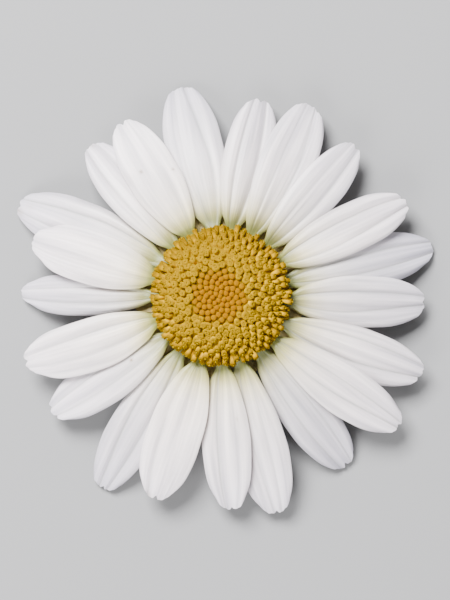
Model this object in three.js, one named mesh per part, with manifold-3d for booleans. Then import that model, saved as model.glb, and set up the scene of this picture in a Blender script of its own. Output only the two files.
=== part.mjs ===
// Ox-eye daisy flower head, picked with the stem cut flush under the head.
//
// Millimetres, +Z up. The head lies face up on its cut stem, which rests on z = 0.
// The axis of the head stands a little off the origin, because the origin is the middle of
// the whole flower's outline and the petals on one side are longer.
//
// From the bottom up: the involucre (cut stem, cup and overlapping bracts), 21 ray petals
// whose claws lie on the rim of the cup, and the disc, whose rim holds the claws down.

import * as THREE from 'three';
import createManifold from 'manifold-3d';

const wasm = await createManifold();
wasm.setup();
const { Manifold, Mesh: SolidMesh } = wasm;

// ---- driving sizes ---------------------------------------------------------------------

const HEAD_X = -0.48; // axis of the head, from the middle of the outline
const HEAD_Y = 0.48;

const STEM_R = 1.25; // cut stem, the flat spot that the flower rests on
const CUP_Z = 1.0; // where the stem runs out into the cup
const CUP_R = 8.0; // rim of the cup
const RIM_Z = 5.05; // flat top of the cup, which carries claws and disc

const ROOT_R = 7.2; // inner end of every petal claw
const ROOT_Z = 5.75; // middle of the claw's thickness
const PETAL_T = 0.68; // upright thickness, so that no slope is thinner than 0.6
const LIFT = 0.56; // how far an overlapping edge stands above or below the ring of petals
const GROOVE = 0.14; // depth of the two grooves along each petal
const BASE_WIDTH = 0.21; // claw's width as a share of the petal's width
const WAIST = 0.24; // how much narrower the petal is drawn in, just outside the disc

const SEAT_R = 6.85; // foot of the disc, inside the ring of claws
const SEAT_Z = 5.35; // underside of the disc
const DISC_R = 8.25; // middle of the furthest floret's mouth
const CROWN_Z = 10.0; // tips of the open florets at the crown
const BUD_DIP = 0.45; // the closed buds in the middle stand this much lower
const BUD_R = 3.3; // radius of the patch of buds
const BUDS = 31;
const OPEN_FLORETS = 82;
const RIM_FLORETS = 24; // the lowest row, which leans right out over the claws
const RIM_ROW_R = 8.0;
const RIM_ROW_Z = 7.38;
const RIM_ROW_LEAN = 1.25; // radians from upright
const GOLDEN_ANGLE = Math.PI * (3 - Math.sqrt(5));

// Each petal: azimuth of root and tip (degrees, counter-clockwise from +X), distance of the
// tip from the head's axis, half widths to the left and right of its midline, where along it
// the full width is reached, how far the tip's corners stand back, sideways bow, height of the
// tip above the surface, how it lies among its neighbours, and the notches of its tip as
// [place across, depth].
const PETALS = [
  [356.2, 358.2, 24.5, 3.05, 3.15, 0.52, 0.07, 0.0, 2.4, 'shingle', [[0.0, 0.25]]],
  [12.4, 12.9, 26.2, 3.1, 3.05, 0.6, 0.09, 0.0, 0.65, 'under', []],
  [29.8, 26.7, 24.9, 3.05, 2.8, 0.54, 0.07, 0.0, 3.5, 'over', [[-0.68, 0.2], [0.4, 0.3]]],
  [46.5, 48.4, 24.2, 2.5, 3.0, 0.6, 0.08, 0.0, 3.1, 'shingle', [[-0.18, 0.25]]],
  [63.5, 65.0, 25.3, 2.95, 3.6, 0.62, 0.06, 0.0, 2.7, 'shingle', [[-0.5, 0.25]]],
  [80.7, 78.5, 24.1, 2.98, 2.95, 0.58, 0.07, 0.0, 2.2, 'shingle', [[0.0, 0.3]]],
  [97.3, 101.0, 25.6, 3.4, 3.4, 0.6, 0.06, 0.0, 0.7, 'under', []],
  [116.5, 119.8, 24.0, 3.2, 3.1, 0.55, 0.08, 0.0, 3.6, 'over', [[0.0, 0.35]]],
  [134.0, 131.2, 23.9, 2.75, 3.05, 0.58, 0.08, 0.0, 2.8, 'shingle', []],
  [149.5, 155.8, 26.8, 3.05, 3.5, 0.58, 0.08, 0.0, 0.65, 'under', [[0.0, 0.3]]],
  [165.0, 163.3, 23.6, 3.2, 3.2, 0.52, 0.1, 0.0, 3.3, 'over', [[0.0, 0.2]]],
  [180.3, 178.9, 24.1, 2.65, 2.35, 0.58, 0.1, 0.0, 0.7, 'under', []],
  [199.8, 198.5, 24.8, 3.45, 2.95, 0.52, 0.09, 0.3, 3.7, 'over', [[0.0, 0.35]]],
  [217.0, 214.5, 24.7, 3.2, 2.75, 0.56, 0.08, 0.0, 2.6, 'shingle', [[-0.34, 0.25], [0.34, 0.2]]],
  [233.5, 238.3, 27.3, 2.9, 3.25, 0.62, 0.07, 0.0, 0.6, 'under', [[0.0, 0.35]]],
  [252.0, 252.0, 25.6, 3.15, 3.5, 0.54, 0.09, 0.0, 3.4, 'over', [[0.0, 0.35]]],
  [270.7, 273.0, 25.7, 2.75, 3.1, 0.58, 0.08, 0.0, 3.0, 'shingle', [[0.0, 0.35]]],
  [287.3, 284.6, 27.0, 3.15, 3.3, 0.64, 0.08, 0.0, 2.1, 'shingle', [[0.0, 0.3]]],
  [304.1, 306.6, 25.5, 3.05, 3.15, 0.62, 0.07, 0.0, 0.7, 'under', [[0.0, 0.35]]],
  [320.0, 324.0, 26.5, 2.85, 3.3, 0.62, 0.08, 0.0, 3.5, 'over', [[0.0, 0.3]]],
  [336.4, 339.2, 25.9, 2.65, 3.4, 0.62, 0.07, 0.0, 3.1, 'shingle', [[-0.34, 0.3]]],
];

// Where the petal's faces are divided, along it and across it. The grooves run at 0.34.
const ALONG = [0, 0.07, 0.15, 0.26, 0.4, 0.56, 0.72, 0.86, 0.95, 1];
const ACROSS = [-1, -0.68, -0.34, 0, 0.34, 0.68, 1];

// Rows of bracts: how many, where they start and end along the cup, and their half width.
const BRACT_ROWS = [
  { count: 9, from: 0.34, to: 0.68, half: 1.25, turn: 0.1 },
  { count: 13, from: 0.5, to: 0.92, half: 1.3, turn: 0.3 },
  { count: 21, from: 0.74, to: 1.12, half: 0.98, turn: 0.26 },
];
const BRACT_T = 0.62;

// ---- materials -------------------------------------------------------------------------

const petalWhite = new THREE.MeshStandardMaterial({
  name: 'petal', color: 0xeeeef0, roughness: 0.6, metalness: 0,
});
const discYellow = new THREE.MeshStandardMaterial({
  name: 'disc', color: 0xe0aa10, roughness: 0.7, metalness: 0,
});
const bractGreen = new THREE.MeshStandardMaterial({
  name: 'bract', color: 0x56642e, roughness: 0.75, metalness: 0,
});

// ---- small helpers ---------------------------------------------------------------------

const clamp = THREE.MathUtils.clamp;
const smoothstep = THREE.MathUtils.smoothstep;
const polar = (azimuth, radius) => new THREE.Vector2(
  radius * Math.cos(azimuth), radius * Math.sin(azimuth));

// A closed sheet from two grids of points of the same layout, the lower under the upper.
// Both faces are split along the same diagonals, so they can't cross each other.
function sheet(upper, lower) {
  const rows = upper.length;
  const cols = upper[0].length;
  const points = [...upper.flat(), ...lower.flat()];
  const top = (i, j) => i * cols + j;
  const bottom = (i, j) => rows * cols + i * cols + j;
  const faces = [];
  for (let i = 0; i < rows - 1; i++) {
    for (let j = 0; j < cols - 1; j++) {
      faces.push([top(i, j), top(i + 1, j), top(i + 1, j + 1)]);
      faces.push([top(i, j), top(i + 1, j + 1), top(i, j + 1)]);
      faces.push([bottom(i, j), bottom(i + 1, j + 1), bottom(i + 1, j)]);
      faces.push([bottom(i, j), bottom(i, j + 1), bottom(i + 1, j + 1)]);
    }
  }
  const rim = [];
  for (let j = 0; j < cols - 1; j++) rim.push([0, j]);
  for (let i = 0; i < rows - 1; i++) rim.push([i, cols - 1]);
  for (let j = cols - 1; j > 0; j--) rim.push([rows - 1, j]);
  for (let i = rows - 1; i > 0; i--) rim.push([i, 0]);
  rim.forEach(([i, j], k) => {
    const [m, n] = rim[(k + 1) % rim.length];
    faces.push([top(i, j), top(m, n), bottom(m, n)]);
    faces.push([top(i, j), bottom(m, n), bottom(i, j)]);
  });
  return { points, faces };
}

function toGeometry({ points, faces }) {
  const geometry = new THREE.BufferGeometry();
  geometry.setAttribute('position', new THREE.Float32BufferAttribute(
    points.flatMap((p) => [p.x, p.y, p.z]), 3));
  geometry.setIndex(faces.flat());
  geometry.computeVertexNormals();
  return geometry;
}

function toSolid({ points, faces }) {
  return new Manifold(new SolidMesh({
    numProp: 3,
    vertProperties: new Float32Array(points.flatMap((p) => [p.x, p.y, p.z])),
    triVerts: new Uint32Array(faces.flat()),
  }));
}

// Joins pieces that grow into each other. Any pocket that joining seals inside is filled.
function grown(pieces) {
  const shells = Manifold.union(pieces).decompose();
  shells.sort((a, b) => b.volume() - a.volume());
  return shells[0];
}

function solidToGeometry(solid) {
  const mesh = solid.getMesh();
  const geometry = new THREE.BufferGeometry();
  geometry.setAttribute('position', new THREE.Float32BufferAttribute(mesh.vertProperties, 3));
  geometry.setIndex(Array.from(mesh.triVerts));
  geometry.computeVertexNormals();
  return geometry;
}

// A solid of revolution about Z, from a profile that starts and ends on the axis.
function turned(profile, sides) {
  const points = [];
  const faces = [];
  const last = profile.length - 1;
  points.push(new THREE.Vector3(0, 0, profile[0][1]));
  points.push(new THREE.Vector3(0, 0, profile[last][1]));
  for (let i = 1; i < last; i++) {
    for (let k = 0; k < sides; k++) {
      const p = polar((2 * Math.PI * k) / sides, profile[i][0]);
      points.push(new THREE.Vector3(p.x, p.y, profile[i][1]));
    }
  }
  const at = (i, k) => 2 + (i - 1) * sides + (k % sides);
  for (let k = 0; k < sides; k++) {
    faces.push([0, at(1, k + 1), at(1, k)]);
    faces.push([1, at(last - 1, k), at(last - 1, k + 1)]);
    for (let i = 1; i < last - 1; i++) {
      faces.push([at(i, k), at(i, k + 1), at(i + 1, k + 1)]);
      faces.push([at(i, k), at(i + 1, k + 1), at(i + 1, k)]);
    }
  }
  return { points, faces };
}

// ---- ray petals ------------------------------------------------------------------------

// Height of the ring of petals at a distance from the head's axis, before overlaps.
const ringHeight = (r) => ROOT_Z + 0.1 * (r - ROOT_R) - 0.0145 * (r - ROOT_R) ** 2;

// How far a petal stands above (1) or below (-1) the ring, across its width.
function layer(lie, v) {
  if (lie === 'over') return 1;
  if (lie === 'under') return -1;
  return Math.sin((Math.PI / 2) * clamp(v / 0.75, -1, 1));
}

function rayPetal(row) {
  const [rootDeg, tipDeg, reach, left, right, belly, blunt, bow, tipZ, lie, notches] = row;
  const root = polar(THREE.MathUtils.degToRad(rootDeg), ROOT_R);
  const tip = polar(THREE.MathUtils.degToRad(tipDeg), reach);
  const length = root.distanceTo(tip);
  const along = tip.clone().sub(root).normalize();
  const across = new THREE.Vector2(-along.y, along.x);
  const tipDrop = ringHeight(reach) + LIFT * layer(lie, 0) - tipZ;

  const middle = ALONG.map((u) => ACROSS.map((v) => {
    const drawnIn = 1 - WAIST * (1 - smoothstep(u, 0.05, 0.14));
    const widening = drawnIn
      * (BASE_WIDTH + (1 - BASE_WIDTH) * Math.sin((Math.PI / 2) * Math.min(u / belly, 1)));
    const narrowing = 1 - 0.38 * (clamp((u - 0.62) / 0.38, 0, 1) ** 2.2);
    const sideways = v * (v > 0 ? left : right) * widening * narrowing + bow * Math.sin(Math.PI * u);
    const cut = notches.reduce(
      (sum, [place, depth]) => sum + depth * Math.exp(-(((v - place) / 0.14) ** 2)), 0);
    const forward = length * u * (1 - blunt * Math.abs(v) ** 2.6 * u ** 4) - cut * u ** 12;
    const x = root.x + forward * along.x + sideways * across.x;
    const y = root.y + forward * along.y + sideways * across.y;

    const r = Math.hypot(x, y);
    const spread = smoothstep(r, 7.4, 9.2);
    const outward = Math.max(0, (r - 9) / (reach - 9)) ** 2;
    const groove = GROOVE * Math.exp(-(((Math.abs(v) - 0.34) / 0.15) ** 2));
    const z = ringHeight(r) + LIFT * spread * layer(lie, v) - tipDrop * outward
      - groove * smoothstep(u, 0, 0.25);
    return new THREE.Vector3(x, y, z);
  }));
  const shifted = (dz) => middle.map((line) => line.map(
    (p) => new THREE.Vector3(p.x, p.y, p.z + dz)));
  return toGeometry(sheet(shifted(PETAL_T / 2), shifted(-PETAL_T / 2)));
}

// ---- disc ------------------------------------------------------------------------------

// Height of the tips of the open florets over the disc.
const crownHeight = (r) => CROWN_Z - 2.0 * (r / 8.2) ** 3.2;

// A floret standing on its root: rings of points round its own axis, then placed so that its
// mouth is at `mouth` and it points along `up`.
function placeFloret(shape, mouth, up, turn) {
  const spin = new THREE.Quaternion().setFromUnitVectors(new THREE.Vector3(0, 0, 1), up);
  const points = shape.points.map((p) => p.clone()
    .applyAxisAngle(new THREE.Vector3(0, 0, 1), turn)
    .applyQuaternion(spin)
    .add(mouth));
  return toSolid({ points, faces: shape.faces });
}

// A closed bud: a six-sided barrel with a domed end, its tip at z = 0.
const budShape = turned([[0, -1.1], [0.38, -1.1], [0.46, -0.26], [0, 0]], 6);

// An open floret: a five-sided tube that flares into five lobes round a sunken throat.
function openFloretShape() {
  const points = [new THREE.Vector3(0, 0, -0.32)];
  const faces = [];
  for (let k = 0; k < 5; k++) {
    const foot = polar((2 * Math.PI * k) / 5, 0.24);
    points.push(new THREE.Vector3(foot.x, foot.y, -1.5));
  }
  for (let k = 0; k < 10; k++) {
    const lobe = k % 2 === 0;
    const p = polar((Math.PI * k) / 5, lobe ? 0.66 : 0.46);
    points.push(new THREE.Vector3(p.x, p.y, lobe ? 0 : -0.08));
  }
  const foot = (k) => 1 + (k % 5);
  const mouth = (k) => 6 + (k % 10);
  for (let k = 0; k < 5; k++) {
    faces.push([foot(k), foot(k + 1), mouth(2 * k + 1)]);
    faces.push([foot(k), mouth(2 * k + 1), mouth(2 * k)]);
    faces.push([foot(k + 1), mouth(2 * k + 2), mouth(2 * k + 1)]);
  }
  for (let k = 0; k < 10; k++) faces.push([0, mouth(k), mouth(k + 1)]);
  for (let k = 1; k < 4; k++) faces.push([foot(0), foot(k + 1), foot(k)]);
  return { points, faces };
}

function discFlorets() {
  const core = toSolid(turned([
    [0, SEAT_Z], [SEAT_R, SEAT_Z], [SEAT_R, 6.5], [7.3, 6.6], [7.3, 7.2],
    [5.5, 8.5], [3.2, 8.95], [0, 9.0],
  ], 16));
  const openShape = openFloretShape();
  const florets = [];
  const leaning = (azimuth, lean) => new THREE.Vector3(
    Math.sin(lean) * Math.cos(azimuth), Math.sin(lean) * Math.sin(azimuth), Math.cos(lean));
  for (let n = 0; n < BUDS + OPEN_FLORETS; n++) {
    const isBud = n < BUDS;
    const r = isBud
      ? BUD_R * Math.sqrt((n + 0.5) / BUDS)
      : Math.sqrt((BUD_R + 0.35) ** 2
        + ((n - BUDS) / (OPEN_FLORETS - 1)) * (DISC_R ** 2 - (BUD_R + 0.35) ** 2));
    const azimuth = n * GOLDEN_ANGLE;
    const lean = (isBud ? 0.1 : 0.85) * (r / 8.2) ** 2;
    const at = polar(azimuth, r);
    const mouth = new THREE.Vector3(at.x, at.y, crownHeight(r) - (isBud ? BUD_DIP : 0));
    const shape = isBud ? budShape : openShape;
    florets.push(placeFloret(shape, mouth, leaning(azimuth, lean), azimuth));
  }
  for (let k = 0; k < RIM_FLORETS; k++) {
    const azimuth = (2 * Math.PI * (k + 0.5)) / RIM_FLORETS;
    const at = polar(azimuth, RIM_ROW_R);
    const mouth = new THREE.Vector3(at.x, at.y, RIM_ROW_Z);
    florets.push(placeFloret(openShape, mouth, leaning(azimuth, RIM_ROW_LEAN), azimuth));
  }
  return solidToGeometry(grown([core, ...florets]));
}

// ---- involucre -------------------------------------------------------------------------

// Outer face of the cup, from the middle of its underside (0) to its rim (1). Past the rim
// the bracts spread outward, nearly level, under the petals.
function cupAt(t) {
  const s = Math.min(t, 1);
  return new THREE.Vector2(CUP_R * t, CUP_Z + 3.3 * s ** 2.2 + 0.9 * Math.max(0, t - 1));
}

function bract(azimuth, { from, to, half }) {
  const steps = [0, 0.55, 1];
  const widths = [0.85, 1, 0.2];
  const grid = (dz) => steps.map((s, i) => [-1, 0, 1].map((v) => {
    const line = cupAt(from + (to - from) * s);
    const stand = 0.1 + 0.35 * s;
    const angle = azimuth + (v * half * widths[i]) / line.x;
    const p = polar(angle, line.x + 0.6 * stand);
    const keel = v === 0 ? -0.12 : 0;
    return new THREE.Vector3(p.x, p.y, line.y - 0.8 * stand + keel + dz);
  }));
  return toSolid(sheet(grid(BRACT_T / 2), grid(-BRACT_T / 2)));
}

function involucre() {
  const cup = [[0, 0], [STEM_R, 0], [STEM_R - 0.08, 0.5], [STEM_R, 0.95]];
  for (const t of [0.28, 0.45, 0.6, 0.74, 0.86, 0.95]) {
    const p = cupAt(t);
    cup.push([p.x, p.y]);
  }
  cup.push([CUP_R, 4.6], [CUP_R, RIM_Z], [0, RIM_Z]);
  const pieces = [toSolid(turned(cup, 30))];
  for (const row of BRACT_ROWS) {
    for (let k = 0; k < row.count; k++) {
      pieces.push(bract((2 * Math.PI * (k + row.turn)) / row.count, row));
    }
  }
  return solidToGeometry(grown(pieces));
}

// ---- the flower ------------------------------------------------------------------------

const flower = new THREE.Group();
flower.name = 'daisy_flower';

function add(name, geometry, material) {
  const mesh = new THREE.Mesh(geometry, material);
  mesh.name = name;
  mesh.position.set(HEAD_X, HEAD_Y, 0);
  flower.add(mesh);
}

add('involucre', involucre(), bractGreen);
add('disc_florets', discFlorets(), discYellow);
PETALS.forEach((row, k) => {
  add(`ray_petal_${String(k + 1).padStart(2, '0')}`, rayPetal(row), petalWhite);
});

export default flower;
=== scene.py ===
import bpy
import math
import numpy as np
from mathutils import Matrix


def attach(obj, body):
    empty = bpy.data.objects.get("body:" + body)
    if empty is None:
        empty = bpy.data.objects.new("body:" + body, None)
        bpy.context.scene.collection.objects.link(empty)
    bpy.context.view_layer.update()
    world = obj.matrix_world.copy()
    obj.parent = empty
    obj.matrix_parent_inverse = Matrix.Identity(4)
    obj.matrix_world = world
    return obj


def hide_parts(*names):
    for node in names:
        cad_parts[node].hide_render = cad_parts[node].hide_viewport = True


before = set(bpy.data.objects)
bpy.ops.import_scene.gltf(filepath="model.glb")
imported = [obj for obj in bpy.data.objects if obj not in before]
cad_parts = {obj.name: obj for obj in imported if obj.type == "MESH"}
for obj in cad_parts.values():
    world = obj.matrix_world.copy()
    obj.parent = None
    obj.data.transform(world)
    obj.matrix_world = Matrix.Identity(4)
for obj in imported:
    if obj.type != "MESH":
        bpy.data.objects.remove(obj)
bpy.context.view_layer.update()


# ---- Cut stem and cup ----------------------------------------------------------------
# The stem is cut square, close under the head, and swells into the cup, the green plate
# that carries the whole head. It is soft plant tissue with low ridges running up it. The
# flower rests on the cut, which shows a white pith within green rings.
MM = 0.001              # a millimetre, in metres
HEAD_AXIS = np.array([-0.48, 0.48, 0.0])   # in mm, from the middle of the flower's outline
STEM_RADIUS = 1.25
STEM_SWELLS = 0.15      # where its profile is no further from that radius, it is ridged
STEM_RIDGES = 11
STEM_SIDES = 12 * STEM_RIDGES
RIDGE_HEIGHT = 0.035
RIDGES_SUNK = 0.03      # they swell from a little inside the profile
SKIN_TOP = 5.0          # height where the skin takes its last colour


def closed_mesh(name, points, corners, across=None, along=None, marks=None):
    """A piece from points in millimetres about the head's axis and four-cornered faces.
    across and along become its UV map, and each entry of marks a number on every point."""
    mesh = bpy.data.meshes.new(name)
    mesh.from_pydata(((points + HEAD_AXIS) * MM).tolist(), [], corners.tolist())
    mesh.polygons.foreach_set("use_smooth", np.ones(len(mesh.polygons), dtype=bool))
    order = np.empty(len(mesh.loops), dtype=np.int32)
    mesh.loops.foreach_get("vertex_index", order)
    if across is not None:
        layer = mesh.uv_layers.new(name="surface")
        layer.data.foreach_set("uv", np.stack([across[order], along[order]], axis=1).ravel())
    for label, values in (marks or {}).items():
        mark = mesh.attributes.new(label, "FLOAT", "POINT")
        mark.data.foreach_set("value", values.astype(np.float32))
    mesh.update()
    piece = bpy.data.objects.new(name, mesh)
    bpy.context.scene.collection.objects.link(piece)
    return piece


def turned_surface(radius, height, sides):
    """Rings of points round the axis: ring i has radius[i] (one value or one per side) and
    height[i]. The first and last ring close onto the axis."""
    turn = np.linspace(0, 2 * np.pi, sides, endpoint=False)
    shape = (len(radius), sides)
    radius = np.broadcast_to(np.asarray(radius, dtype=float).reshape(len(radius), -1), shape)
    height = np.broadcast_to(np.asarray(height, dtype=float).reshape(len(height), -1), shape)
    points = np.stack([radius * np.cos(turn), radius * np.sin(turn), height], axis=-1)
    i, j = np.meshgrid(np.arange(len(radius) - 1), np.arange(sides), indexing="ij")
    k = (j + 1) % sides
    faces = np.stack([i * sides + j, i * sides + k, (i + 1) * sides + k,
                      (i + 1) * sides + j], axis=-1).reshape(-1, 4)
    return points.reshape(-1, 3), faces


def shade(tree, kind, sockets=None, **settings):
    """One shader node. A socket given another node's output is linked to it."""
    made = tree.nodes.new(kind)
    for key, value in settings.items():
        setattr(made, key, value)
    for key, value in (sockets or {}).items():
        if isinstance(value, bpy.types.NodeSocket):
            tree.links.new(value, made.inputs[key])
        else:
            made.inputs[key].default_value = value
    return made


def ramp(tree, amount, stops):
    """A colour for each amount: stops are (amount, red, green, blue) from low to high."""
    made = shade(tree, "ShaderNodeValToRGB", {"Fac": amount})
    steps = made.color_ramp.elements
    while len(steps) < len(stops):
        steps.new(0.5)
    for step, (place, *colour) in zip(steps, stops):
        step.position = place
        step.color = (*colour, 1)
    return made.outputs["Color"]


def mixed(tree, amount, first, second, how="MIX"):
    """Two colours mixed by an amount from 0 to 1."""
    made = shade(tree, "ShaderNodeMix", {0: amount, 6: first, 7: second},
                 data_type="RGBA", blend_type=how)
    return made.outputs[2]


def reckon(tree, how, *values):
    """Arithmetic on one to three numbers."""
    made = shade(tree, "ShaderNodeMath", dict(enumerate(values)), operation=how)
    return made.outputs[0]


def new_finish(name, roughness, subsurface=0.0, reach=0.5 * MM, spread=(1.0, 0.8, 0.5),
               shine=0.5):
    """A finish with no colour yet: its material, node tree, shader and Object coordinates.
    A share of the light, subsurface, wanders inside it as far as reach, times spread for its
    red, green and blue. shine is how strongly its surface reflects."""
    material = bpy.data.materials.new(name)
    material.use_nodes = True
    tree = material.node_tree
    shader = tree.nodes["Principled BSDF"]
    shader.inputs["Roughness"].default_value = roughness
    shader.inputs["Subsurface Weight"].default_value = subsurface
    shader.inputs["Subsurface Scale"].default_value = reach
    shader.inputs["Subsurface Radius"].default_value = spread
    shader.inputs["Specular IOR Level"].default_value = shine
    where = shade(tree, "ShaderNodeTexCoord")
    return material, tree, shader, where


# Living tissue is never one even colour: cells are plumper or thinner from place to place.
# This group gives a tint that wanders over the surface and a fine grain of cells.
tissue = bpy.data.node_groups.new("living_tissue", "ShaderNodeTree")
for label, kind in (("Place", "NodeSocketVector"), ("Colour", "NodeSocketColor"),
                    ("Patches", "NodeSocketFloat"), ("Wander", "NodeSocketFloat")):
    tissue.interface.new_socket(label, in_out="INPUT", socket_type=kind)
for label, kind in (("Colour", "NodeSocketColor"), ("Grain", "NodeSocketFloat")):
    tissue.interface.new_socket(label, in_out="OUTPUT", socket_type=kind)
given = shade(tissue, "NodeGroupInput")
patch = shade(tissue, "ShaderNodeTexNoise", {
    "Vector": given.outputs["Place"], "Scale": given.outputs["Patches"],
    "Detail": 4.0, "Roughness": 0.55})
cells = shade(tissue, "ShaderNodeTexNoise", {
    "Vector": given.outputs["Place"], "Scale": 9000.0, "Detail": 2.0})
swing = reckon(tissue, "MULTIPLY", reckon(tissue, "SUBTRACT", patch.outputs["Fac"], 0.5),
               given.outputs["Wander"])
tone = reckon(tissue, "ADD", swing, 1.0)
tone_colour = shade(tissue, "ShaderNodeCombineColor", {"Red": tone, "Green": tone, "Blue": tone})
tissue_out = shade(tissue, "NodeGroupOutput")
tissue.links.new(mixed(tissue, 1.0, given.outputs["Colour"], tone_colour.outputs["Color"],
                       "MULTIPLY"), tissue_out.inputs["Colour"])
tissue.links.new(cells.outputs["Fac"], tissue_out.inputs["Grain"])


def lay_colour(tree, shader, where, colour, patches, wander):
    """Lays a colour on a finish through the living tissue, and returns the tissue's node.
    patches is how many there are to a metre, and wander how far their tones differ."""
    flesh = shade(tree, "ShaderNodeGroup", {
        "Place": where.outputs["Object"], "Colour": colour, "Patches": patches,
        "Wander": wander}, node_tree=tissue)
    tree.links.new(flesh.outputs["Colour"], shader.inputs["Base Color"])
    return flesh


def raise_surface(tree, shader, height, strength, depth):
    """Gives a finish a relief from a height of 0 to 1, depth metres deep."""
    bump = shade(tree, "ShaderNodeBump", {
        "Height": height, "Strength": strength, "Distance": depth})
    tree.links.new(bump.outputs["Normal"], shader.inputs["Normal"])


# Profile of the cut, the stem and the cup, from the middle of the cut outwards and up, then
# back over the flat top to the axis.
STEM_CUP = np.array([
    [0.0, 0.0], [0.35, 0.0], [0.62, 0.0], [0.85, 0.0], [1.02, 0.0], [1.14, 0.0], [1.22, 0.03],
    [1.25, 0.1], [1.2, 0.3], [1.17, 0.5], [1.19, 0.75], [1.3, 0.92], [1.6, 1.03], [2.2, 1.12],
    [3.0, 1.3], [3.8, 1.6], [4.6, 1.98], [5.4, 2.42], [6.1, 2.85], [6.8, 3.35], [7.4, 3.82],
    [7.8, 4.25], [7.95, 4.6], [7.98, 4.9], [7.9, 5.03], [7.6, 5.05], [6.0, 5.05], [3.0, 5.05],
    [0.0, 5.05]])
turn = np.linspace(0, 2 * np.pi, STEM_SIDES, endpoint=False)
ridge = RIDGE_HEIGHT * np.cos(STEM_RIDGES * turn)
on_stem = (np.abs(STEM_CUP[:, 0] - STEM_RADIUS) < STEM_SWELLS).astype(float)[:, None]
stem_radius = STEM_CUP[:, :1] + on_stem * ridge[None, :] - RIDGES_SUNK * on_stem
points, corners = turned_surface(stem_radius, STEM_CUP[:, 1], STEM_SIDES)
stem_cup = closed_mesh("stem_and_cup", points, corners)

stem_green, tree, shader, where = new_finish("stem_green", roughness=0.6)
from_axis = shade(tree, "ShaderNodeMapping", {
    "Vector": where.outputs["Object"], "Location": tuple(-HEAD_AXIS * MM)})
parts = shade(tree, "ShaderNodeSeparateXYZ", {"Vector": from_axis.outputs["Vector"]})
off_axis = reckon(tree, "SQRT", reckon(tree, "ADD",
                  reckon(tree, "POWER", parts.outputs["X"], 2.0),
                  reckon(tree, "POWER", parts.outputs["Y"], 2.0)))
cut_rings = ramp(tree, reckon(tree, "MULTIPLY", off_axis, 1 / (STEM_RADIUS * MM)), [
    (0.0, 0.72, 0.74, 0.55), (0.52, 0.66, 0.7, 0.46), (0.66, 0.3, 0.4, 0.14),
    (0.78, 0.42, 0.52, 0.22), (1.0, 0.16, 0.24, 0.06)])
skin = ramp(tree, reckon(tree, "MULTIPLY", parts.outputs["Z"], 1 / (SKIN_TOP * MM)), [
    (0.0, 0.2, 0.28, 0.07), (0.2, 0.16, 0.23, 0.06), (0.6, 0.13, 0.18, 0.045),
    (1.0, 0.18, 0.2, 0.06)])
at_cut = reckon(tree, "LESS_THAN", parts.outputs["Z"], 0.02 * MM)
cut_or_skin = mixed(tree, at_cut, skin, cut_rings)
flesh = lay_colour(tree, shader, where, cut_or_skin, patches=900.0, wander=0.5)
raise_surface(tree, shader, flesh.outputs["Grain"], strength=0.25, depth=0.03 * MM)
stem_cup.data.materials.append(stem_green)
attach(stem_cup, "root")
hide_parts("involucre")


# ---- Bracts --------------------------------------------------------------------------
# Scale leaves overlap in rows round the outside of the cup, from the stem to the rim. Each
# is a stiff pointed blade with a keel, green, with a thin brown papery margin. The innermost
# spread out flat under the roots of the petals and show their pale inner faces in the gaps.
BRACT_ROWS = [   # how many, start and end along the cup (1 is its rim), half width, turn
    (9, 0.34, 0.68, 1.25, 0.1),
    (13, 0.5, 0.92, 1.3, 0.3),
    (21, 0.74, 1.21, 1.02, 0.22),
    (21, 0.86, 1.28, 0.95, 0.93),
]
BRACT_THICK = 0.32
BRACT_ALONG = 15
BRACT_ACROSS = 11
CUP_RADIUS = 8.0
CUP_FOOT = 1.0       # height where the stem runs out into the cup
CUP_RISE = 3.3       # from there to the rim
RIM_RISE = 0.9       # past the rim, for each further radius
KEEL_DEPTH = 0.14
MARGIN_BROWN = (0.15, 0.085, 0.035, 1)
INNER_FACE = (0.42, 0.33, 0.12, 1)


def sheet_faces(rows, columns):
    """Four-cornered faces of a closed sheet: an upper grid of rows by columns points, the
    same grid again for the lower face, and a rim that joins them all the way round."""
    i, j = np.meshgrid(np.arange(rows - 1), np.arange(columns - 1), indexing="ij")
    a = (i * columns + j).ravel()
    upper = np.stack([a, a + columns, a + columns + 1, a + 1], axis=1)
    lower = upper[:, ::-1] + rows * columns
    edge = np.concatenate([
        np.arange(columns - 1), np.arange(rows - 1) * columns + columns - 1,
        (rows - 1) * columns + np.arange(columns - 1, 0, -1),
        np.arange(rows - 1, 0, -1) * columns])
    after = np.roll(edge, -1)
    under = rows * columns
    rim = np.stack([edge, after, after + under, edge + under], axis=1)
    return np.concatenate([upper, lower, rim])


def cup_line(t):
    """Outer face of the cup: radius and height at t, from the middle (0) to the rim (1). The
    radius grows evenly and the height as t to the power 2.2; past the rim it levels off."""
    inside = np.minimum(t, 1)
    return CUP_RADIUS * t, CUP_FOOT + CUP_RISE * inside ** 2.2 + RIM_RISE * np.maximum(0, t - 1)


def both_faces(middle, half_thick, *maps):
    """A sheet of points from its middle surface: its upper face, half_thick above it, then
    its lower face, as far below. Each map over the same grid follows, once for either face."""
    lift = np.zeros_like(middle)
    lift[..., 2] = half_thick
    points = np.concatenate([(middle + lift).reshape(-1, 3), (middle - lift).reshape(-1, 3)])
    return points, *(np.tile(np.broadcast_to(one, middle.shape[:2]).ravel(), 2) for one in maps)


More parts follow.
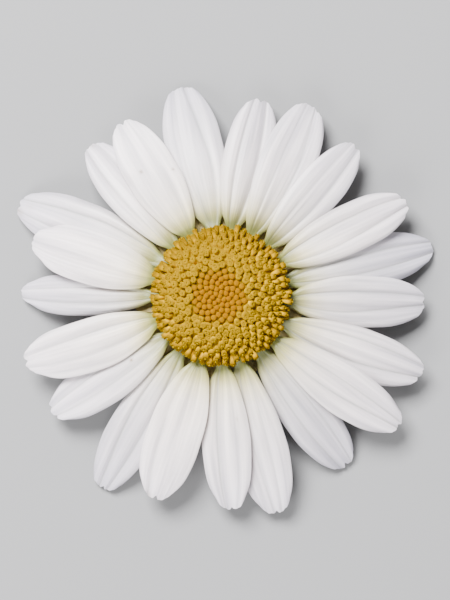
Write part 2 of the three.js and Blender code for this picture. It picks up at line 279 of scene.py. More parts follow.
def bract_blade(azimuth, start, end, half, own_number):
    """One blade on a grid of s (root to tip) and v (side to side). It follows the cup, is
    widest at two fifths of its length, tapers to a point, stands off the cup towards its
    tip, and folds along its keel; it thins out to the margins and the tip."""
    s = np.linspace(0, 1, BRACT_ALONG)[:, None]
    v = np.linspace(-1, 1, BRACT_ACROSS)[None, :]
    radius, height = cup_line(start + (end - start) * s)
    width = half * (0.82 + 0.3 * s) * (1 - s ** 3.2) ** 0.75 + 0.07
    width = width * (1 + 0.03 * np.sin(9 * s + own_number * 6))
    stand = 0.12 + (0.34 + 0.1 * own_number) * s
    angle = azimuth + (v * width + 0.12 * (own_number - 0.5) * s) / radius
    keel = -KEEL_DEPTH * (1 - np.abs(v)) ** 1.5 + 0.05 * np.abs(v) ** 2
    out = radius + 0.6 * stand
    middle = np.stack([out * np.cos(angle), out * np.sin(angle),
                       np.broadcast_to(height - 0.8 * stand + keel, angle.shape)], axis=-1)
    half_thick = BRACT_THICK / 2 * np.maximum(0.12, (1 - v ** 4)) * np.maximum(0.25, 1 - s ** 6)
    points, across, along = both_faces(middle, half_thick, (v + 1) / 2, s)
    inner = np.repeat([1.0, 0.0], len(points) // 2)
    return points, across, along, np.full(len(points), own_number), inner


chance = np.random.default_rng(11)
blades = [bract_blade(2 * np.pi * (k + turn) / count, start, end, half, chance.random())
          for count, start, end, half, turn in BRACT_ROWS for k in range(count)]
one_blade = sheet_faces(BRACT_ALONG, BRACT_ACROSS)
points, across, along, own_number, inner = (np.concatenate(column) for column in zip(*blades))
bracts = closed_mesh(
    "bracts", points,
    np.concatenate([one_blade + n * len(blades[0][0]) for n in range(len(blades))]),
    across, along, {"own_number": own_number, "inner_face": inner})

# Veins run side by side down a blade or a petal, and fade in and out as they go. This group
# gives them as a height and as a mask of thin lines, with a mask of wider soft streaks. Each
# blade has its own number, so that no two carry the same pattern.
veins = bpy.data.node_groups.new("side_by_side_veins", "ShaderNodeTree")
for label in ("Across", "Along", "Own Number", "Veins"):
    veins.interface.new_socket(label, in_out="INPUT", socket_type="NodeSocketFloat")
for label in ("Height", "Lines", "Streaks"):
    veins.interface.new_socket(label, in_out="OUTPUT", socket_type="NodeSocketFloat")
given = shade(veins, "NodeGroupInput")
across_veins = reckon(veins, "MULTIPLY", given.outputs["Across"], given.outputs["Veins"])
strip = shade(veins, "ShaderNodeCombineXYZ", {
    "X": across_veins, "Y": reckon(veins, "MULTIPLY", given.outputs["Along"], 3.0)})
fading = shade(veins, "ShaderNodeTexNoise", {
    "Vector": strip.outputs["Vector"], "W": reckon(
        veins, "MULTIPLY", given.outputs["Own Number"], 31.0), "Scale": 0.9, "Detail": 2.0},
    noise_dimensions="4D")
broad = shade(veins, "ShaderNodeCombineXYZ", {
    "X": reckon(veins, "MULTIPLY", given.outputs["Across"], 5.0), "Y": given.outputs["Along"]})
streak = shade(veins, "ShaderNodeTexNoise", {
    "Vector": broad.outputs["Vector"], "W": reckon(
        veins, "MULTIPLY", given.outputs["Own Number"], 17.0), "Scale": 1.3, "Detail": 3.0},
    noise_dimensions="4D")
sway = reckon(veins, "MULTIPLY_ADD", fading.outputs["Fac"], 0.7, across_veins)
wave = reckon(veins, "MULTIPLY_ADD", reckon(veins, "COSINE", reckon(
    veins, "MULTIPLY", sway, 2 * math.pi)), 0.5, 0.5)
present = reckon(veins, "SMOOTH_MAX", reckon(veins, "MULTIPLY_ADD", fading.outputs["Fac"], 3.0,
                                             -1.1), 0.0, 0.1)
veins_out = shade(veins, "NodeGroupOutput")
veins.links.new(reckon(veins, "MULTIPLY", wave, present), veins_out.inputs["Height"])
veins.links.new(reckon(veins, "MULTIPLY", reckon(veins, "POWER", wave, 4.0), present),
                veins_out.inputs["Lines"])
veins.links.new(reckon(veins, "MULTIPLY_ADD", streak.outputs["Fac"], 2.6, -0.8),
                veins_out.inputs["Streaks"])


def own_surface(tree):
    """A piece's own UV map taken apart: X runs across it and Y along it."""
    return shade(tree, "ShaderNodeSeparateXYZ",
                 {"Vector": shade(tree, "ShaderNodeUVMap", uv_map="surface").outputs["UV"]})


def carried(tree, label):
    """The number that every point of a piece carries under a label."""
    return shade(tree, "ShaderNodeAttribute", attribute_name=label).outputs["Fac"]


def veined(tree, surface, count):
    """The veins on a piece's own surface, count of them from side to side."""
    return shade(tree, "ShaderNodeGroup", {
        "Across": surface.outputs["X"], "Along": surface.outputs["Y"],
        "Own Number": carried(tree, "own_number"), "Veins": count}, node_tree=veins)


bract_green, tree, shader, where = new_finish("bract_green", roughness=0.62)
on_blade = own_surface(tree)
from_keel = reckon(tree, "ABSOLUTE",
                   reckon(tree, "MULTIPLY_ADD", on_blade.outputs["X"], 2.0, -1.0))
blade_green = ramp(tree, on_blade.outputs["Y"], [
    (0.0, 0.15, 0.2, 0.05), (0.55, 0.2, 0.24, 0.07), (0.85, 0.22, 0.21, 0.07),
    (1.0, 0.16, 0.1, 0.04)])
margin = ramp(tree, reckon(tree, "ADD", from_keel, reckon(tree, "MULTIPLY", reckon(
    tree, "POWER", on_blade.outputs["Y"], 4.0), 0.35)), [
    (0.0, 0, 0, 0), (0.62, 0, 0, 0), (0.8, 1, 1, 1), (1.0, 1, 1, 1)])
margined = mixed(tree, margin, blade_green, MARGIN_BROWN)
two_faced = mixed(tree, carried(tree, "inner_face"), margined, INNER_FACE)
lay_colour(tree, shader, where, two_faced, patches=1400.0, wander=0.6)
veining = veined(tree, on_blade, count=7.0)
raise_surface(tree, shader, veining.outputs["Height"], strength=0.5, depth=0.04 * MM)
bracts.data.materials.append(bract_green)
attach(bracts, "root")
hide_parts("involucre")


# ---- Ray petals ----------------------------------------------------------------------
# Twenty-one thin white straps, each the petal of one ray floret, held by a narrow claw on
# the rim of the cup. Two creases run along it between three rounded ribs, to the blunt teeth
# of the tip. Neighbours overlap like slates or lie over one another.
CLAW_RADIUS = 7.2
CLAW_HEIGHT = 5.75
RING_RISE = 0.1         # slope of the ring of petals at the claws
RING_ARCH = 0.0145      # and how fast it bends down from there
PETAL_THICK = 0.3
OVERLAP_LIFT = 0.36     # an overlapping edge stands this far above or below the ring
LIFT_FROM = 7.4         # the lift grows between these radii
LIFT_FULL = 9.2
DROOP_FROM = 9.0        # and past this one the end droops to its own height
CLAW_WIDTH = 0.21       # the claw's width, as a share of the petal's
WAIST = 0.27            # how far the disc draws the claw in
NARROWS_FROM = 0.62     # share of the length at which the petal starts to narrow again
END_NARROWING = 0.38    # and the share of its width that it loses by the tip
TOOTH_DEPTH = 0.05
FINE_TOOTH_DEPTH = 0.03
NOTCH_WIDTH = 0.1
RIB_HEIGHT = 0.32
SIDE_RIB = 0.9          # height of the two outer ribs, as a share of the middle one's
CREASE_WIDTH = 0.035
WAVE_HEIGHT = 0.05
FRILL_HEIGHT = 0.07
PETAL_ALONG = 92
PETAL_ACROSS = 61
PETALS = [   # root and tip azimuth, reach, half widths left and right, widest place, how far
             # the corners stand back, bow, tip height, how it lies, notches (place, depth),
             # creases (left: place and depth; right: place, place at the tip and depth).
             # Places across run from the middle (0) to the right (-1) or left (1) edge
    (356.2, 358.2, 24.5, 3.05, 3.15, 0.52, 0.07, 0.0, 2.4, "shingle",
     [(0.0, 0.25)], (0.37, 1.1, 0.46, 0.15, 1.1)),
    (12.4, 12.9, 26.2, 3.1, 3.05, 0.6, 0.09, 0.0, 0.65, "under",
     [], (0.35, 1.1, 0.4, 0.3, 1.0)),
    (29.8, 26.7, 24.9, 3.05, 2.8, 0.54, 0.07, 0.0, 3.5, "over",
     [(-0.68, 0.2), (0.4, 0.3)], (0.42, 1.0, 0.46, 0.2, 0.9)),
    (47.2, 48.4, 24.2, 2.5, 3.0, 0.6, 0.08, 0.0, 3.1, "shingle",
     [(-0.18, 0.25)], (0.2, 0.4, 0.46, 0.32, 0.7)),
    (63.5, 65.0, 25.3, 2.95, 3.6, 0.62, 0.06, 0.0, 2.7, "shingle",
     [(-0.5, 0.25)], (0.16, 0.5, 0.52, 0.36, 0.8)),
    (81.2, 78.5, 24.1, 2.98, 2.95, 0.58, 0.07, 0.0, 2.2, "shingle",
     [(0.0, 0.3)], (0.39, 0.8, 0.44, 0.4, 0.9)),
    (95.6, 101.0, 25.6, 3.4, 3.4, 0.6, 0.06, 0.0, 0.7, "under",
     [], (0.4, 0.3, 0.52, 0.16, 1.0)),
    (117.0, 119.8, 24.0, 3.2, 3.1, 0.55, 0.08, 0.0, 3.6, "over",
     [(0.0, 0.35)], (0.31, 0.3, 0.4, 0.35, 0.3)),
    (134.0, 131.2, 23.9, 2.75, 3.05, 0.58, 0.08, 0.0, 2.8, "shingle",
     [], (0.37, 0.8, 0.45, 0.4, 0.8)),
    (149.5, 155.8, 26.8, 3.05, 3.5, 0.58, 0.08, 0.0, 0.65, "under",
     [(0.0, 0.3)], (0.33, 0.8, 0.56, 0.38, 1.3)),
    (165.0, 163.3, 23.6, 3.2, 3.2, 0.52, 0.1, 0.0, 3.3, "over",
     [(0.0, 0.2)], (0.35, 0.15, 0.4, 0.35, 0.15)),
    (180.3, 178.9, 24.1, 2.65, 2.35, 0.58, 0.1, 0.0, 0.7, "under",
     [], (0.42, 1.2, 0.38, 0.2, 0.9)),
    (199.8, 198.5, 24.8, 3.45, 2.95, 0.52, 0.09, 0.3, 3.7, "over",
     [(0.0, 0.35)], (0.36, 0.4, 0.42, 0.28, 0.7)),
    (217.0, 214.5, 24.7, 3.2, 2.75, 0.56, 0.08, 0.0, 2.6, "shingle",
     [(-0.34, 0.25), (0.34, 0.2)], (0.35, 0.8, 0.4, 0.28, 0.9)),
    (233.1, 238.3, 27.3, 2.9, 3.25, 0.62, 0.07, 0.0, 0.6, "under",
     [(0.0, 0.35)], (0.33, 0.8, 0.5, 0.22, 1.1)),
    (252.4, 252.0, 25.6, 3.15, 3.5, 0.54, 0.09, 0.0, 3.4, "over",
     [(0.0, 0.35)], (0.34, 0.2, 0.55, 0.42, 0.5)),
    (271.3, 273.0, 25.7, 2.75, 3.1, 0.58, 0.08, 0.0, 3.0, "shingle",
     [(0.0, 0.35)], (0.4, 0.2, 0.4, 0.38, 1.2)),
    (286.7, 284.6, 27.0, 3.15, 3.3, 0.64, 0.08, 0.0, 2.1, "shingle",
     [(0.0, 0.3)], (0.3, 0.5, 0.3, 0.17, 0.8)),
    (304.5, 306.6, 25.5, 3.05, 3.15, 0.62, 0.07, 0.0, 0.7, "under",
     [(0.0, 0.35)], (0.4, 0.6, 0.4, 0.36, 0.9)),
    (319.6, 324.0, 26.5, 2.85, 3.3, 0.62, 0.08, 0.0, 3.5, "over",
     [(0.0, 0.3)], (0.24, 0.9, 0.42, 0.16, 1.2)),
    (336.4, 339.2, 25.9, 2.65, 3.4, 0.62, 0.07, 0.0, 3.1, "shingle",
     [(-0.34, 0.3)], (0.46, 1.0, 0.5, 0.32, 1.3)),
]
SPECKS = {   # small brown marks: petal, then place along and across, size and strength
    8: [(0.62, 0.33, 0.2, 1.0), (0.52, -0.77, 0.17, 0.8)],
    9: [(1.0, -0.1, 0.5, 0.3)],
    10: [(1.0, 0.35, 0.8, 0.45), (0.93, -0.1, 0.6, 0.15)],
    14: [(0.34, 0.01, 0.2, 1.2)],
    16: [(1.0, -0.4, 0.5, 0.5)],
    17: [(0.41, 0.5, 0.17, 0.4)],
}
LIE = 9                 # where a row of PETALS says how it lies
SHADE_BY_LIE = {"over": 0.1, "shingle": 0.4, "under": 0.75}   # how far its neighbours shade it
# Painted light and shade: a petal's white where it lies in full light, and where its neighbours
# shade it
LIT_WHITE = (1.0, 0.985, 0.975, 1)
SHADED_WHITE = (0.67, 0.7, 0.77, 1)
# Painted shade: the grey laid in soft streaks over the petals, where their relief sinks a little
STREAK_SHADE_GREY = (0.42, 0.435, 0.48, 1)
# Painted shade: the dark grey laid along the petals' creases
CREASE_SHADE_GREY = (0.28, 0.28, 0.27, 1)
VEIN_GREY = (0.38, 0.38, 0.4, 1)
CLAW_GREEN = (0.16, 0.18, 0.03, 1)
SPECK_BROWN = (0.2, 0.13, 0.08, 1)


def eased(x, low, high):
    """0 below low, 1 above high, and a smooth S between them."""
    x = np.clip((x - low) / (high - low), 0, 1)
    return x * x * (3 - 2 * x)


def ring_height(r):
    """Height of the ring of petals: it rises gently from the claw, then arches down."""
    return CLAW_HEIGHT + RING_RISE * (r - CLAW_RADIUS) - RING_ARCH * (r - CLAW_RADIUS) ** 2


def toward(degrees):
    """The direction of an azimuth, as an arrow one long."""
    return np.array([math.cos(math.radians(degrees)), math.sin(math.radians(degrees))])


def petal_surface(root_azimuth, tip_azimuth, reach, left, right, belly, blunt, bow, tip_height,
                  lie, notches, creases, specks, chance):
    """One petal on a grid of u (root to tip, closer together at the tip) and v (right edge -1
    to left edge 1). Its width swells from the claw as a quarter sine, drawn in by the disc,
    and narrows again to the tip, which stands back at the corners and at each notch. Its
    height is the ring's, plus the overlap's lift, plus three parabolic ribs that meet in
    creases, each with its own place and depth, plus slow waves, less the droop of its end."""
    u = 1 - (1 - np.linspace(0, 1, PETAL_ALONG)[:, None]) ** 1.35
    v = np.linspace(-1, 1, PETAL_ACROSS)[None, :]
    root = CLAW_RADIUS * toward(root_azimuth)
    tip = reach * toward(tip_azimuth)
    length = np.hypot(*(tip - root))
    ahead = (tip - root) / length
    aside = np.array([-ahead[1], ahead[0]])
    phase = chance.uniform(0, 2 * np.pi, 8)

    swell = np.sin(np.pi / 2 * np.minimum(u / belly, 1))
    widening = CLAW_WIDTH + (1 - CLAW_WIDTH) * swell
    widening = widening * (1 - WAIST * (1 - eased(u, 0.05, 0.15)))
    near_end = np.clip((u - NARROWS_FROM) / (1 - NARROWS_FROM), 0, 1)
    narrowing = 1 - END_NARROWING * near_end ** 2.2
    sway = 0.012 * np.sin(7 * u + phase[0]) + 0.006 * np.sin(23 * u + phase[1])
    ragged = 1 + sway * eased(u, 0.2, 0.5)
    sideways = v * np.where(v > 0, left, right) * widening * narrowing * ragged
    sideways = sideways + bow * np.sin(np.pi * u)
    cut = TOOTH_DEPTH * np.cos(3 * np.pi * v + phase[2])
    cut = cut + FINE_TOOTH_DEPTH * np.cos(7 * np.pi * v + phase[3])
    for place, depth in notches:
        cut = cut + depth * np.exp(-((v - place) / NOTCH_WIDTH) ** 2)
    forward = length * u * (1 - blunt * np.abs(v) ** 2.6 * u ** 4) - cut * u ** 12
    x = root[0] + forward * ahead[0] + sideways * aside[0]
    y = root[1] + forward * ahead[1] + sideways * aside[1]

    lean = {"over": 1.0 + 0 * v, "under": -1.0 + 0 * v,
            "shingle": np.sin(np.pi / 2 * np.clip(v / 0.75, -1, 1))}[lie]
    r = np.hypot(x, y)
    droop = ring_height(reach) + OVERLAP_LIFT * lean[0, PETAL_ACROSS // 2] - tip_height
    z = ring_height(r) + OVERLAP_LIFT * eased(r, LIFT_FROM, LIFT_FULL) * lean
    z = z - droop * np.maximum(0, (r - DROOP_FROM) / (reach - DROOP_FROM)) ** 2

    left_place, left_depth, right_place, tip_place, right_depth = creases
    crease = np.where(v > 0, left_place + 0 * u,
                      right_place + (tip_place - right_place) * eased(u, 0.3, 1.1))
    strength = np.where(v > 0, left_depth, right_depth)
    middle_rib = 1 - (v / crease) ** 2
    side_rib = 1 - ((np.abs(v) - (1 + crease) / 2) / ((1 - crease) / 2)) ** 2
    ribs = np.where(np.abs(v) < crease, middle_rib, SIDE_RIB * side_rib)
    depth = RIB_HEIGHT * eased(u, 0.0, 0.3) * (0.85 + 0.3 * np.sin(3 * u + phase[4]))
    z = z + depth * (strength * (ribs - 1) + 0.5)
    z = z + WAVE_HEIGHT * np.sin(5 * u + 2 * v + phase[5]) * eased(u, 0.3, 0.6)
    frill = FRILL_HEIGHT * np.sin(9 * u + 3 * np.sign(v) + phase[6])
    z = z + frill * np.abs(v) ** 4 * eased(u, 0.25, 0.6)

    middle = np.stack([x, y, z], axis=-1)
    half_thick = PETAL_THICK / 2 * np.maximum(0.2, 1 - v ** 6) * np.maximum(0.2, 1 - u ** 14)
    # Painted shade: a dark line along each crease, darker where the crease is deeper
    crease_shade_line = strength * np.exp(-(np.abs(np.abs(v) - crease) / CREASE_WIDTH))
    crease_shade_line = crease_shade_line * eased(u, 0.02, 0.2)
    half_width = 3.1   # near enough for every petal
    speck = np.zeros(x.shape)
    for along, across, size, deep in specks:
        speck = speck + deep * np.exp(-((u - along) * length / size) ** 2
                                      - ((v - across) * half_width / size) ** 2)
    return both_faces(middle, half_thick, (v + 1) / 2, u, crease_shade_line, speck)


petal_white, tree, shader, where = new_finish(
    "petal_white", roughness=0.45, subsurface=0.35, reach=0.8 * MM, spread=(1.0, 0.96, 0.9))
on_petal = own_surface(tree)
# Along the petal: yellow-green at the claw, darkened there as painted shade where the claw runs
# in under the florets, then cream, tinged pink at the tip
claw_green_and_shade = ramp(tree, on_petal.outputs["Y"], [
    (0.0, 0.22, 0.23, 0.035), (0.09, 0.25, 0.25, 0.055), (0.15, 0.46, 0.41, 0.15),
    (0.215, 0.74, 0.65, 0.42), (0.32, 0.87, 0.77, 0.67), (0.5, 0.89, 0.79, 0.755),
    (1.0, 0.895, 0.805, 0.84)])
veining = veined(tree, on_petal, count=13.0)
# Painted shade: the white is darker and bluer the more the petal's neighbours shade it
painted_shade_tone = mixed(tree, carried(tree, "painted_shade"), LIT_WHITE, SHADED_WHITE)
white_with_painted_shade = mixed(tree, 1.0, claw_green_and_shade, painted_shade_tone, "MULTIPLY")
white_with_streak_shade = mixed(tree, 1.0, white_with_painted_shade, STREAK_SHADE_GREY, "MULTIPLY")
# Painted shade in grey streaks over the petal's soft hollows
painted_streak_shade = reckon(tree, "MULTIPLY", veining.outputs["Streaks"], 0.8)
# Painted shade along the creases, carried under the name crease
painted_crease_shade = reckon(tree, "MULTIPLY", carried(tree, "crease"), 0.7)
in_vein = reckon(tree, "MULTIPLY", veining.outputs["Lines"], 0.16)
near_claw = ramp(tree, on_petal.outputs["Y"], [
    (0.0, 1, 1, 1), (0.12, 0.8, 0.8, 0.8), (0.24, 0, 0, 0), (1.0, 0, 0, 0)])
in_claw_vein = reckon(tree, "MULTIPLY", near_claw, veining.outputs["Lines"])
colour = mixed(tree, painted_streak_shade, white_with_painted_shade, white_with_streak_shade)
colour = mixed(tree, painted_crease_shade, colour, CREASE_SHADE_GREY)
colour = mixed(tree, in_vein, colour, VEIN_GREY)
colour = mixed(tree, in_claw_vein, colour, CLAW_GREEN)
colour = mixed(tree, carried(tree, "speck"), colour, SPECK_BROWN)
flesh = lay_colour(tree, shader, where, colour, patches=260.0, wander=0.12)
vein_relief = reckon(tree, "MULTIPLY", veining.outputs["Height"], 0.6)
streak_relief = reckon(tree, "MULTIPLY_ADD", veining.outputs["Streaks"], -0.8, vein_relief)
relief = reckon(tree, "MULTIPLY_ADD", flesh.outputs["Grain"], 0.25, streak_relief)
raise_surface(tree, shader, relief, strength=0.6, depth=0.05 * MM)

for k, shape in enumerate(PETALS, start=1):
    chance = np.random.default_rng(100 + k)
    points, across, along, crease_shade_line, speck = petal_surface(*shape, SPECKS.get(k, []), chance)
    # painted shade: a petal that lies under its neighbours is painted darker and bluer than one
    # that lies over them
    painted_shade = SHADE_BY_LIE[shape[LIE]] + chance.uniform(-0.1, 0.25)
    petal = closed_mesh(f"petal_{k:02d}", points, sheet_faces(PETAL_ALONG, PETAL_ACROSS),
                        across, along,
                        {"crease": crease_shade_line, "speck": speck,
                         "own_number": np.full(len(points), k / len(PETALS)),
                         "painted_shade": np.full(len(points), painted_shade)})
    petal.data.materials.append(petal_white)
    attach(petal, "root")
    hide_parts(f"ray_petal_{k:02d}")


# ---- Receptacle ----------------------------------------------------------------------
# The domed seat that all the florets of the disc grow on. Its foot stands inside the ring
# of petal claws, and only a little of it shows, deep between the florets.
SEAT_SIDES = 72
# The seat's dark ochre is painted shade: it shows only in the seams deep between the florets
SEAT_SHADE_OCHRE = (0.2, 0.115, 0.0, 1)
SEAT = np.array([
    [0.0, 5.35], [3.0, 5.35], [6.0, 5.35], [6.8, 5.37], [6.85, 5.5], [6.85, 6.3], [6.95, 6.45],
    [7.15, 6.55], [7.28, 6.65], [7.32, 6.8], [7.3, 7.05], [7.22, 7.35], [6.95, 7.75], [6.5, 8.15],
    [5.9, 8.48], [5.2, 8.72], [4.4, 8.87], [3.6, 8.94], [2.6, 8.96], [1.3, 8.95], [0.0, 8.95]])
points, corners = turned_surface(SEAT[:, :1], SEAT[:, 1], SEAT_SIDES)
receptacle = closed_mesh("receptacle", points, corners)

seat_shade_ochre, tree, shader, where = new_finish("receptacle_shade_ochre", roughness=0.8, shine=0.0)
flesh = lay_colour(tree, shader, where, SEAT_SHADE_OCHRE, patches=1200.0, wander=0.7)
raise_surface(tree, shader, flesh.outputs["Grain"], strength=0.5, depth=0.05 * MM)
receptacle.data.materials.append(seat_shade_ochre)
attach(receptacle, "root")
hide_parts("disc_florets")


# ---- Closed florets ------------------------------------------------------------------
# The middle of the disc is still in bud: round orange-yellow florets, packed in the spirals
# of the golden angle, each with five faint seams where its lobes will part. The youngest, in
# the very middle, are the smallest.
GOLDEN_ANGLE = math.pi * (3 - math.sqrt(5))
SPIRAL_SHIFT = np.array([-0.29, -0.05])   # the spirals start a little off the head's axis
CROWN_TOP = 10.0
CROWN_FALL = 2.0        # from the middle of the crown to its edge
CROWN_EDGE = 8.2
BUD_COUNT = 70
BUD_PATCH = 3.15        # radius of the patch of buds
BUD_SUNK = 0.6          # how far they stand below the crown
BUD_LEAN = 0.1
BUD_RIPE = (0.19, 0.095, 0.0, 1)
BUD_TINT = (0.17, 0.06, 0.0, 1)
AROUND = 10             # points round a floret, two for each of its lobes


def crown_height(r):
    """Height of the crown, on which the open florets end: nearly level, then it falls."""
    return CROWN_TOP - CROWN_FALL * (r / CROWN_EDGE) ** 3.2


def placed_copies(template, mouth, lean, azimuth, spin, scale, narrow=1.0):
    """Copies of a floret, as arrays: each is turned about itself by spin, scaled, pressed
    from its sides by narrow, tipped outwards by lean towards its azimuth, and moved to its
    mouth's place."""
    c, s = np.cos(spin)[:, None], np.sin(spin)[:, None]
    x = (template[..., 0] * c - template[..., 1] * s) * scale[:, None]
    y = (template[..., 0] * s + template[..., 1] * c) * (scale * narrow)[:, None]
    z = template[..., 2] * scale[:, None]
    ca, sa = np.cos(azimuth)[:, None], np.sin(azimuth)[:, None]
    cl, sl = np.cos(lean)[:, None], np.sin(lean)[:, None]
    outward = x * cl + z * sl
    return np.stack([outward * ca - y * sa + mouth[:, None, 0],
                     outward * sa + y * ca + mouth[:, None, 1],
                     -x * sl + z * cl + mouth[:, None, 2]], axis=-1)


def repeated_faces(faces, size, count):
    """The same faces for each of count copies of size points."""
    return (faces[None] + (np.arange(count) * size)[:, None, None]).reshape(-1, faces.shape[1])


def bud_template():
    """Rings of a bud about its own axis, its tip near height 0: a barrel that closes in a
    dome, pinched by five shallow seams that deepen towards the tip."""
    radius = np.array([0.0, 0.27, 0.36, 0.385, 0.35, 0.21, 0.0])
    height = np.array([-1.3, -1.3, -0.55, -0.3, -0.13, -0.025, -0.01])
    turn = np.linspace(0, 2 * np.pi, AROUND, endpoint=False)
    pinch = 1 - 0.1 * eased(height, -0.4, 0.0)[:, None] * (0.5 + 0.5 * np.cos(5 * turn))[None, :]
    return turned_surface(radius[:, None] * pinch, height, AROUND)


template, bud_faces = bud_template()
n = np.arange(BUD_COUNT)
chance = np.random.default_rng(21)
r = BUD_PATCH * ((n + 0.5) / BUD_COUNT) ** 0.56   # a little closer together in the middle
azimuth = n * GOLDEN_ANGLE
mouth = np.stack([
    r * np.cos(azimuth) + SPIRAL_SHIFT[0], r * np.sin(azimuth) + SPIRAL_SHIFT[1],
    crown_height(r) - BUD_SUNK + 0.2 * (r / BUD_PATCH) ** 2
    + chance.normal(0, 0.02, BUD_COUNT)], axis=1)
scale = (0.74 + 0.28 * (r / BUD_PATCH)) * chance.uniform(0.97, 1.04, BUD_COUNT)
lean = BUD_LEAN * (r / CROWN_EDGE) ** 2
spin = chance.uniform(0, 6.3, BUD_COUNT)
points = placed_copies(np.broadcast_to(template, (BUD_COUNT, *template.shape)), mouth, lean,
                       azimuth, spin, scale)
height_up = np.tile(np.clip(template[:, 2] + 1.0, 0, 1), BUD_COUNT)
own_tint = np.repeat(chance.random(BUD_COUNT), len(template))
ripeness = np.repeat(r / BUD_PATCH, len(template))
closed_florets = closed_mesh("closed_florets", points.reshape(-1, 3),
                             repeated_faces(bud_faces, len(template), BUD_COUNT),
                             own_tint, height_up, {"ripeness": ripeness})

bud_orange, tree, shader, where = new_finish(
    "bud_orange", roughness=0.6, subsurface=0.3, reach=0.4 * MM, shine=0.0)
on_floret = own_surface(tree)   # its X is each floret's own tint, and its Y runs up it
# Painted light: brightest low down, where the buds shade one another, and darker towards the tip,
# where the light falls on it
bud_painted_light = ramp(tree, on_floret.outputs["Y"], [
    (0.0, 0.85, 0.34, 0.0), (0.6, 0.55, 0.215, 0.0), (0.86, 0.22, 0.093, 0.0),
    (1.0, 0.175, 0.077, 0.0)])
at_edge = reckon(tree, "POWER", carried(tree, "ripeness"), 4.0)
colour = mixed(tree, at_edge, bud_painted_light, BUD_RIPE)
colour = mixed(tree, reckon(tree, "MULTIPLY", on_floret.outputs["X"], 0.3), colour, BUD_TINT)
lay_colour(tree, shader, where, colour, patches=1500.0, wander=0.3)
closed_florets.data.materials.append(bud_orange)
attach(closed_florets, "root")
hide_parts("disc_florets")


# ---- Open florets --------------------------------------------------------------------
# Round the buds the florets have opened, the oldest at the rim. Each is a golden tube that
# flares into five pointed lobes round a throat, from which a stigma stands. Towards the rim
# they lean further and further out, over the roots of the petals.
OPEN_COUNT = 372
OPEN_FROM = 3.35
OPEN_TO = 8.5
OPEN_SUNK = 0.12
RIM_LEAN = 1.3
LOW_ROW = 42            # of them, in each of the two rows that lean right out over the claws
PULLED_IN = np.array([0.0, 0.25, 0.6])    # on the face, then in the first and second low row
DROPPED = np.array([0.0, 0.62, 1.65])
LEANS_MORE = np.array([0.0, 0.1, 0.3])
GOLD_TINT = (0.2, 0.108, 0.0, 1)
RIM_TONE = (0.68, 0.64, 0.5, 1)
THROAT_OCHRE = (0.34, 0.18, 0.0, 1)


def open_floret_template(shoulder, lobes_out, lobe_rise):
    """Rings of a floret about its own axis, its mouth near height 0: up the outside of the
    swelling tube, over the five blunt lobes, and down into the small throat. A lobe is a peak
    of the cosine of five times the turn."""
    turn = np.linspace(0, 2 * np.pi, AROUND, endpoint=False)
    peak = 0.5 + 0.5 * np.cos(5 * turn)
    rings = [   # radius, more at a lobe, height, more at a lobe
        (0.0, 0.0, -1.35, 0.0), (0.22, 0.0, -1.35, 0.0), (0.33, 0.0, -0.7, 0.0),
        (shoulder, 0.03, -0.32, 0.04), (shoulder - 0.05, lobes_out, -0.08, lobe_rise),
        (0.13, 0.05, -0.05, 0.05), (0.0, 0.0, -0.22, 0.0)]
    radius = np.array([a + b * peak for a, b, c, d in rings])
    height = np.array([c + d * peak for a, b, c, d in rings])
    return turned_surface(radius, height, AROUND)


young, floret_faces = open_floret_template(shoulder=0.39, lobes_out=0.04, lobe_rise=0.14)
old = open_floret_template(shoulder=0.36, lobes_out=0.11, lobe_rise=0.12)[0]
n = np.arange(OPEN_COUNT)
chance = np.random.default_rng(31)
on_face = OPEN_COUNT - 2 * LOW_ROW
row = np.maximum(0, (n - on_face) // LOW_ROW + 1)   # 0 on the face, then 1 and 2
share = np.minimum(n / (on_face - 1), 1.0)
r = np.sqrt(OPEN_FROM ** 2 + share * (OPEN_TO ** 2 - OPEN_FROM ** 2))
r = r + chance.normal(0, 0.08, OPEN_COUNT) - PULLED_IN[row]
azimuth = (n + BUD_COUNT) * GOLDEN_ANGLE + chance.normal(0, 0.02, OPEN_COUNT)
age = (eased(share, 0.0, 0.3) * chance.uniform(0.5, 1.2, OPEN_COUNT))[:, None, None]
shapes = young[None] * (1 - age) + old[None] * age
shapes[..., 0] *= chance.uniform(0.85, 1.25, OPEN_COUNT)[:, None]   # some are squashed
shift = (OPEN_TO - r)[:, None] / (OPEN_TO - OPEN_FROM) * SPIRAL_SHIFT[None]
mouth = np.stack([r * np.cos(azimuth) + shift[:, 0], r * np.sin(azimuth) + shift[:, 1],
                  crown_height(r) - OPEN_SUNK + chance.normal(0, 0.07, OPEN_COUNT)], axis=1)
mouth[:, 2] -= 0.2 * (1 - eased(r, OPEN_FROM, OPEN_FROM + 0.8)) + DROPPED[row]
lean = RIM_LEAN * (r / CROWN_EDGE) ** 2.1 + chance.normal(0, 0.13, OPEN_COUNT) + LEANS_MORE[row]
scale = chance.uniform(0.9, 1.18, OPEN_COUNT)
spin = chance.uniform(0, 6.3, OPEN_COUNT)
narrow = 1 - 0.2 * eased(share, 0.3, 0.9)
points = placed_copies(shapes, mouth, lean, azimuth, spin, scale, narrow)
height_up = np.tile(np.clip(old[:, 2] + 1.0, 0, 1), OPEN_COUNT)
own_tint = np.repeat(chance.random(OPEN_COUNT), len(old))
rimward = np.repeat(eased(share, 0.3, 1.0), len(old))
last_ring = np.arange(len(old)) >= len(old) - AROUND   # the bottom of the throat
throat = np.tile(last_ring.astype(float), OPEN_COUNT)
open_florets = closed_mesh("open_florets", points.reshape(-1, 3),
                           repeated_faces(floret_faces, len(old), OPEN_COUNT),
                           own_tint, height_up, {"throat": throat, "rimward": rimward})

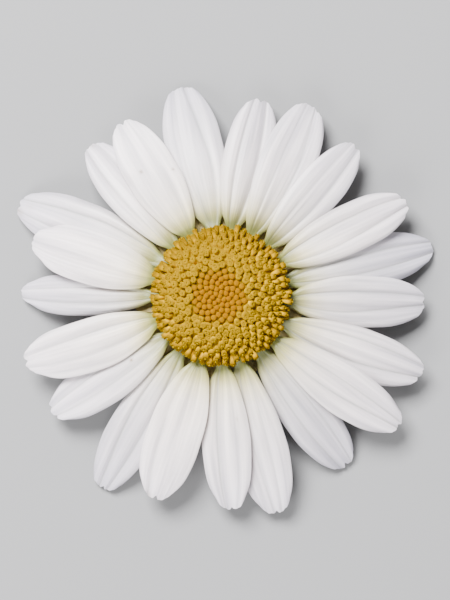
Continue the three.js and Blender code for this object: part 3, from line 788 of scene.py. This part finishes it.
floret_gold, tree, shader, where = new_finish(
    "floret_gold", roughness=0.6, subsurface=0.3, reach=0.4 * MM, shine=0.0)
on_floret = own_surface(tree)   # again a tint across, and the height up the floret
# Painted light: brightest low down, where the florets shade one another, and darker towards the
# lobes, where the light falls on them
gold_painted_light = ramp(tree, on_floret.outputs["Y"], [
    (0.0, 0.8, 0.48, 0.0), (0.5, 0.62, 0.37, 0.0), (0.85, 0.25, 0.147, 0.0),
    (1.0, 0.19, 0.111, 0.0)])
tinted = mixed(tree, reckon(tree, "MULTIPLY", on_floret.outputs["X"], 0.35), gold_painted_light, GOLD_TINT)
rim_gold = mixed(tree, 1.0, tinted, RIM_TONE, "MULTIPLY")
colour = mixed(tree, carried(tree, "rimward"), tinted, rim_gold)
in_throat = reckon(tree, "MULTIPLY", carried(tree, "throat"), 0.8)
colour = mixed(tree, in_throat, colour, THROAT_OCHRE)
lay_colour(tree, shader, where, colour, patches=1500.0, wander=0.3)
open_florets.data.materials.append(floret_gold)
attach(open_florets, "root")
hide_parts("disc_florets")


# ---- Stigmas -------------------------------------------------------------------------
# A short fleshy style stands out of each open throat and ends in a pale swollen tip. It
# leans with its floret, and is larger towards the rim.
STIGMA_SIDES = 6
STIGMA_YELLOW = (0.25, 0.155, 0.0, 1)
STIGMA = np.array([   # its profile, in the floret's own frame
    [0.0, -0.3], [0.06, -0.3], [0.07, -0.05], [0.11, 0.05], [0.08, 0.11], [0.0, 0.12]])
template, stigma_faces = turned_surface(STIGMA[:, :1], STIGMA[:, 1], STIGMA_SIDES)
points = placed_copies(np.broadcast_to(template, (OPEN_COUNT, *template.shape)), mouth, lean,
                       azimuth, spin, scale * (0.7 + 0.4 * share))
stigmas = closed_mesh("stigmas", points.reshape(-1, 3),
                      repeated_faces(stigma_faces, len(template), OPEN_COUNT))

stigma_pale, tree, shader, where = new_finish("stigma_pale", roughness=0.6, shine=0.0)
lay_colour(tree, shader, where, STIGMA_YELLOW, patches=2500.0, wander=0.3)
stigmas.data.materials.append(stigma_pale)
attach(stigmas, "root")
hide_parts("disc_florets")


# ---- Surface, lights and camera ------------------------------------------------------
# A plain pale surface, a soft light from the back left, a larger and weaker one from the
# front left, and a camera that looks straight down on the face of the flower.
FLOOR_HALF = 0.5
FLOOR_GREY = (0.22, 0.22, 0.225, 1)
floor_mesh = bpy.data.meshes.new("floor")
floor_mesh.from_pydata(
    [(x * FLOOR_HALF, y * FLOOR_HALF, 0) for x, y in ((-1, -1), (1, -1), (1, 1), (-1, 1))],
    [], [(0, 1, 2, 3)])
floor = bpy.data.objects.new("floor", floor_mesh)
bpy.context.scene.collection.objects.link(floor)
floor_grey, tree, shader, where = new_finish("floor_grey", roughness=0.9)
shader.inputs["Base Color"].default_value = FLOOR_GREY
floor.data.materials.append(floor_grey)


def soft_light(name, place, size, power):
    """A square area light, its side and place in metres, turned towards the head."""
    light = bpy.data.lights.new(name, "AREA")
    light.size = size
    light.energy = power
    lamp = bpy.data.objects.new(name, light)
    lamp.location = place
    x, y, z = place
    lamp.rotation_euler = (math.atan2(math.hypot(x, y), z), 0.0, math.atan2(y, x) + math.pi / 2)
    bpy.context.scene.collection.objects.link(lamp)


soft_light("key", place=(-0.13, 0.22, 0.36), size=0.2, power=9.5)
soft_light("fill", place=(-0.2, -0.29, 0.28), size=0.28, power=3.2)
world = bpy.data.worlds.new("studio")
world.use_nodes = True
world.node_tree.nodes["Background"].inputs["Color"].default_value = (1.0, 1.0, 1.0, 1)
world.node_tree.nodes["Background"].inputs["Strength"].default_value = 0.5
bpy.context.scene.world = world

CAMERA_HEIGHT = 0.4
PETAL_LEVEL = 0.0035
FRAME_HEIGHT = 0.072    # how much the height of the frame takes in at the petals' level
camera_data = bpy.data.cameras.new("camera")
camera_data.lens = camera_data.sensor_width * (CAMERA_HEIGHT - PETAL_LEVEL) / FRAME_HEIGHT
camera_data.clip_start = 0.01
camera = bpy.data.objects.new("camera", camera_data)
camera.location = (0.0, 0.0, CAMERA_HEIGHT)
bpy.context.scene.collection.objects.link(camera)
bpy.context.scene.camera = camera
